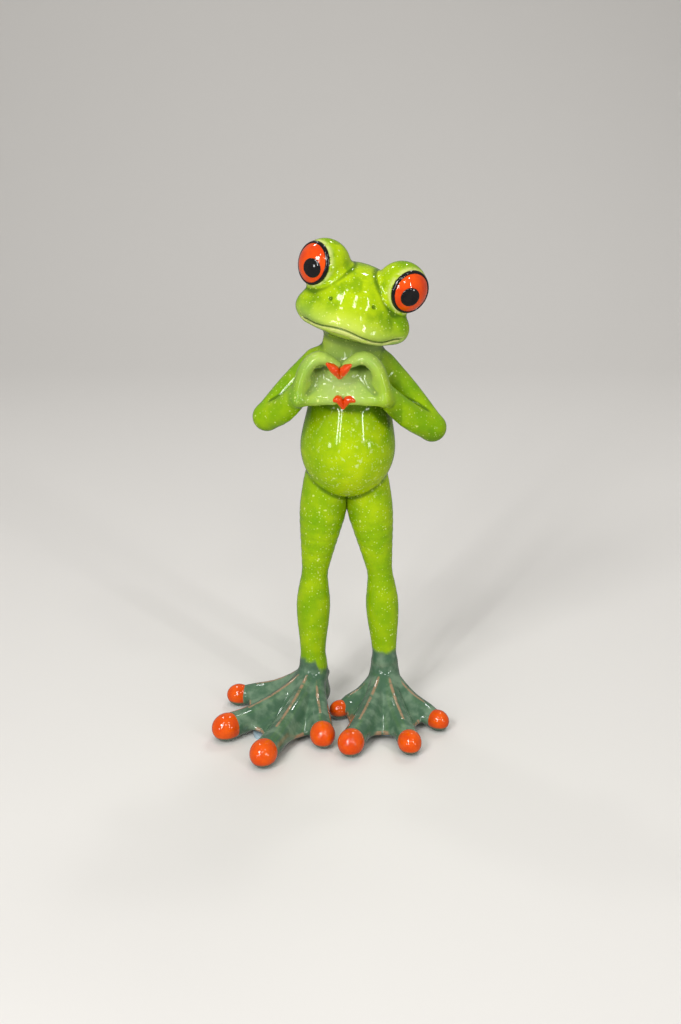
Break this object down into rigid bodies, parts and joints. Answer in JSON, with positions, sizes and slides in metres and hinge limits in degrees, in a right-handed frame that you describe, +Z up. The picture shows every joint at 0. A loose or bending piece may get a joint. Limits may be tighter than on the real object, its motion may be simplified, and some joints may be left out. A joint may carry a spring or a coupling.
{
  "type": "frog figurine",
  "caption": "Glossy standing frog ornament with long thin legs, webbed feet with round toe ends and hands held together as a heart.",
  "frame": {"origin": "centre of the base, on the floor under the middle of the bounding box", "axes": "+Z up, the frog faces -Y and its own left side is +X"},
  "size_m": [0.0979, 0.0735, 0.2004],
  "materials": {
    "skin": "high gloss lacquer with pale speckles",
    "feet": "high gloss lacquer",
    "toe_orange": "high gloss lacquer",
    "finger_red": "high gloss lacquer",
    "iris": "high gloss lacquer",
    "eye_black": "high gloss lacquer",
    "pad": "matt foam",
    "rod": "plain wire"
  },
  "bodies": {
    "root": {"torso": "skin", "head": "skin", "arm_left": "skin", "arm_right": "skin", "leg_left": "skin", "leg_right": "skin", "foot_left": "feet", "foot_right": "feet", "toe_tip_left_1": "toe_orange", "toe_tip_left_2": "toe_orange", "toe_tip_left_3": "toe_orange", "toe_tip_left_4": "toe_orange", "toe_tip_right_1": "toe_orange", "toe_tip_right_2": "toe_orange", "toe_tip_right_3": "toe_orange", "toe_tip_right_4": "toe_orange", "finger_tip_left": "finger_red", "finger_tip_right": "finger_red", "thumb_tip_left": "finger_red", "thumb_tip_right": "finger_red", "eyeball_left": "iris", "eyeball_right": "iris", "eye_rim_left": "eye_black", "eye_rim_right": "eye_black", "pupil_left": "eye_black", "pupil_right": "eye_black", "foot_pad_left": "pad", "foot_pad_right": "pad", "leg_rod_left": "rod", "leg_rod_right": "rod"}
  },
  "joints": []
}
